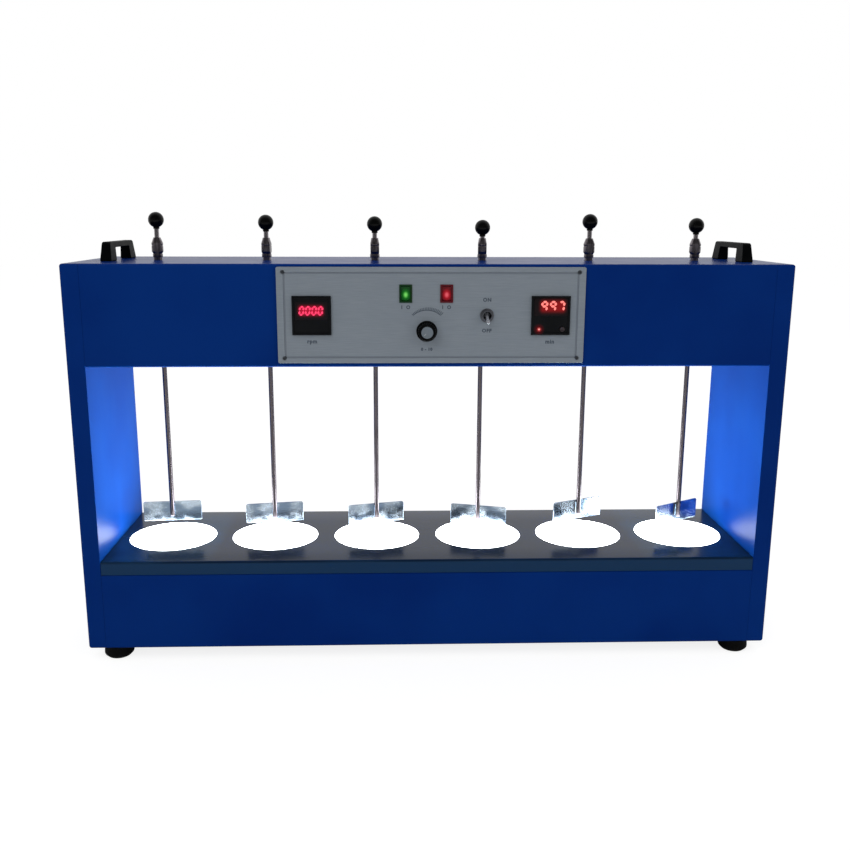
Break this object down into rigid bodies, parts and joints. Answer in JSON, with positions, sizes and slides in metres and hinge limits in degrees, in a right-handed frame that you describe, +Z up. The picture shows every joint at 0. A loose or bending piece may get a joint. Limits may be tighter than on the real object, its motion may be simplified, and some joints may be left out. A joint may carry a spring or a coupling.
{
  "type": "jar tester",
  "caption": "Bench jar tester: a row of flat-blade stirrers hangs from a geared head over a lit black deck, with a control panel, two displays and carry handles.",
  "frame": {"origin": "on the floor below the middle of the overall box", "axes": "+X to the right along the row of stirrers, -Y out of the control panel towards the user, +Z up"},
  "size_m": [0.856, 0.2248, 0.5525],
  "materials": {
    "blue_paint": "gloss",
    "black_paint": "gloss",
    "anodised": "matte",
    "aluminium": "satin",
    "opal": "gloss",
    "black_plastic": "satin",
    "ball_black": "gloss",
    "white_plastic": "matte",
    "grey_plastic": "satin",
    "green_plastic": "gloss",
    "red_plastic": "gloss",
    "rubber": "matte",
    "stainless": "satin",
    "steel": "satin",
    "chrome": "polished",
    "brass": "satin",
    "nylon": "matte",
    "motor_grey": "satin",
    "board_green": "matte"
  },
  "bodies": {
    "case": {"head_shell": "blue_paint", "head_floor": "blue_paint", "side_panel_left": "blue_paint", "side_panel_right": "blue_paint", "base_shell": "blue_paint", "deck_plate": "black_paint", "light_windows": "opal", "lamp_strips": "aluminium", "lamp_driver": "white_plastic", "rubber_feet": "rubber", "gear_plate": "aluminium", "spindle_bearings": "brass", "drive_motor": "motor_grey", "control_panel": "anodised", "speed_display": "black_plastic", "timer_display": "black_plastic", "rocker_housings": "black_plastic", "toggle_bushing": "chrome", "speed_board": "board_green", "carry_handle_left": "black_plastic", "carry_handle_right": "black_plastic", "mains_inlet": "black_plastic"},
    "motor_pinion": {"motor_pinion": "steel"},
    "spindle_1": {"spindle_1": "steel", "drive_gear_1": "nylon"},
    "chuck_1": {"chuck_1": "steel"},
    "stirrer_1": {"stirrer_1": "stainless", "lift_knob_1": "ball_black"},
    "spindle_2": {"spindle_2": "steel", "drive_gear_2": "nylon"},
    "chuck_2": {"chuck_2": "steel"},
    "stirrer_2": {"stirrer_2": "stainless", "lift_knob_2": "ball_black"},
    "spindle_3": {"spindle_3": "steel", "drive_gear_3": "nylon"},
    "chuck_3": {"chuck_3": "steel"},
    "stirrer_3": {"stirrer_3": "stainless", "lift_knob_3": "ball_black"},
    "spindle_4": {"spindle_4": "steel", "drive_gear_4": "nylon"},
    "chuck_4": {"chuck_4": "steel"},
    "stirrer_4": {"stirrer_4": "stainless", "lift_knob_4": "ball_black"},
    "spindle_5": {"spindle_5": "steel", "drive_gear_5": "nylon"},
    "chuck_5": {"chuck_5": "steel"},
    "stirrer_5": {"stirrer_5": "stainless", "lift_knob_5": "ball_black"},
    "spindle_6": {"spindle_6": "steel", "drive_gear_6": "nylon"},
    "chuck_6": {"chuck_6": "steel"},
    "stirrer_6": {"stirrer_6": "stainless", "lift_knob_6": "ball_black"},
    "speed_knob": {"speed_knob": "black_plastic", "knob_cap": "grey_plastic"},
    "green_rocker": {"green_rocker": "green_plastic"},
    "red_rocker": {"red_rocker": "red_plastic"},
    "toggle_lever": {"toggle_lever": "chrome"},
    "timer_key_left": {"timer_key_left": "red_plastic"},
    "timer_key_right": {"timer_key_right": "black_plastic"}
  },
  "joints": [
    {"name": "spindle_1_turn", "type": "hinge", "parent": "case", "child": "spindle_1", "pos_m": [-0.3375, 0.0059, 0.388], "axis": [0, 0, 1], "continuous": true},
    {"name": "spindle_2_turn", "type": "hinge", "parent": "case", "child": "spindle_2", "pos_m": [-0.2025, 0.0059, 0.388], "axis": [0, 0, 1], "continuous": true},
    {"name": "spindle_3_turn", "type": "hinge", "parent": "case", "child": "spindle_3", "pos_m": [-0.0675, 0.0059, 0.388], "axis": [0, 0, 1], "continuous": true},
    {"name": "spindle_4_turn", "type": "hinge", "parent": "case", "child": "spindle_4", "pos_m": [0.0675, 0.0059, 0.388], "axis": [0, 0, 1], "continuous": true},
    {"name": "spindle_5_turn", "type": "hinge", "parent": "case", "child": "spindle_5", "pos_m": [0.2025, 0.0059, 0.388], "axis": [0, 0, 1], "continuous": true},
    {"name": "spindle_6_turn", "type": "hinge", "parent": "case", "child": "spindle_6", "pos_m": [0.3375, 0.0059, 0.388], "axis": [0, 0, 1], "continuous": true},
    {"name": "stirrer_1_lift", "type": "slide", "parent": "spindle_1", "child": "stirrer_1", "axis": [0, 0, 1], "range_m": [-0.01, 0.184]},
    {"name": "chuck_1_turn", "type": "hinge", "parent": "spindle_1", "child": "chuck_1", "pos_m": [-0.3375, 0.0059, 0.504], "axis": [0, 0, 1], "range_deg": [0, 180]},
    {"name": "stirrer_2_lift", "type": "slide", "parent": "spindle_2", "child": "stirrer_2", "axis": [0, 0, 1], "range_m": [-0.007, 0.187]},
    {"name": "chuck_2_turn", "type": "hinge", "parent": "spindle_2", "child": "chuck_2", "pos_m": [-0.2025, 0.0059, 0.504], "axis": [0, 0, 1], "range_deg": [0, 180]},
    {"name": "stirrer_3_lift", "type": "slide", "parent": "spindle_3", "child": "stirrer_3", "axis": [0, 0, 1], "range_m": [-0.0055, 0.189]},
    {"name": "chuck_3_turn", "type": "hinge", "parent": "spindle_3", "child": "chuck_3", "pos_m": [-0.0675, 0.0059, 0.504], "axis": [0, 0, 1], "range_deg": [0, 180]},
    {"name": "stirrer_4_lift", "type": "slide", "parent": "spindle_4", "child": "stirrer_4", "axis": [0, 0, 1], "range_m": [-0.0015, 0.193]},
    {"name": "chuck_4_turn", "type": "hinge", "parent": "spindle_4", "child": "chuck_4", "pos_m": [0.0675, 0.0059, 0.504], "axis": [0, 0, 1], "range_deg": [0, 180]},
    {"name": "stirrer_5_lift", "type": "slide", "parent": "spindle_5", "child": "stirrer_5", "axis": [0, 0, 1], "range_m": [-0.009, 0.185]},
    {"name": "chuck_5_turn", "type": "hinge", "parent": "spindle_5", "child": "chuck_5", "pos_m": [0.2025, 0.0059, 0.504], "axis": [0, 0, 1], "range_deg": [0, 180]},
    {"name": "stirrer_6_lift", "type": "slide", "parent": "spindle_6", "child": "stirrer_6", "axis": [0, 0, 1], "range_m": [-0.0045, 0.19]},
    {"name": "chuck_6_turn", "type": "hinge", "parent": "spindle_6", "child": "chuck_6", "pos_m": [0.3375, 0.0059, 0.504], "axis": [0, 0, 1], "range_deg": [0, 180]},
    {"name": "motor_pinion_turn", "type": "hinge", "parent": "case", "child": "motor_pinion", "pos_m": [-0.00965, 0.07484, 0.388], "axis": [0, 0, 1], "continuous": true},
    {"name": "speed_knob_turn", "type": "hinge", "parent": "case", "child": "speed_knob", "pos_m": [-0.0055, -0.1003, 0.41635], "axis": [0, 1, 0], "range_deg": [0, 270]},
    {"name": "green_rocker_tip", "type": "hinge", "parent": "case", "child": "green_rocker", "pos_m": [-0.0302, -0.0918, 0.46015], "axis": [1, 0, 0], "range_deg": [0, 22]},
    {"name": "red_rocker_tip", "type": "hinge", "parent": "case", "child": "red_rocker", "pos_m": [0.0175, -0.0918, 0.46015], "axis": [1, 0, 0], "range_deg": [0, 22]},
    {"name": "toggle_lever_tip", "type": "hinge", "parent": "case", "child": "toggle_lever", "pos_m": [0.065, -0.0923, 0.43475], "axis": [-1, 0, 0], "range_deg": [0, 40]},
    {"name": "timer_key_left_press", "type": "slide", "parent": "case", "child": "timer_key_left", "axis": [0, 1, 0], "range_m": [0, 0.0008], "stiffness_N_per_m": 1200, "springref_m": -0.0005},
    {"name": "timer_key_right_press", "type": "slide", "parent": "case", "child": "timer_key_right", "axis": [0, 1, 0], "range_m": [0, 0.0008], "stiffness_N_per_m": 1200, "springref_m": -0.0005}
  ],
  "couplings": [
    {"joint": "spindle_2_turn", "follows": "spindle_1_turn", "ratio": -1},
    {"joint": "spindle_3_turn", "follows": "spindle_1_turn", "ratio": 1},
    {"joint": "spindle_4_turn", "follows": "spindle_1_turn", "ratio": -1},
    {"joint": "spindle_5_turn", "follows": "spindle_1_turn", "ratio": 1},
    {"joint": "spindle_6_turn", "follows": "spindle_1_turn", "ratio": -1},
    {"joint": "motor_pinion_turn", "follows": "spindle_1_turn", "ratio": -3}
  ]
}
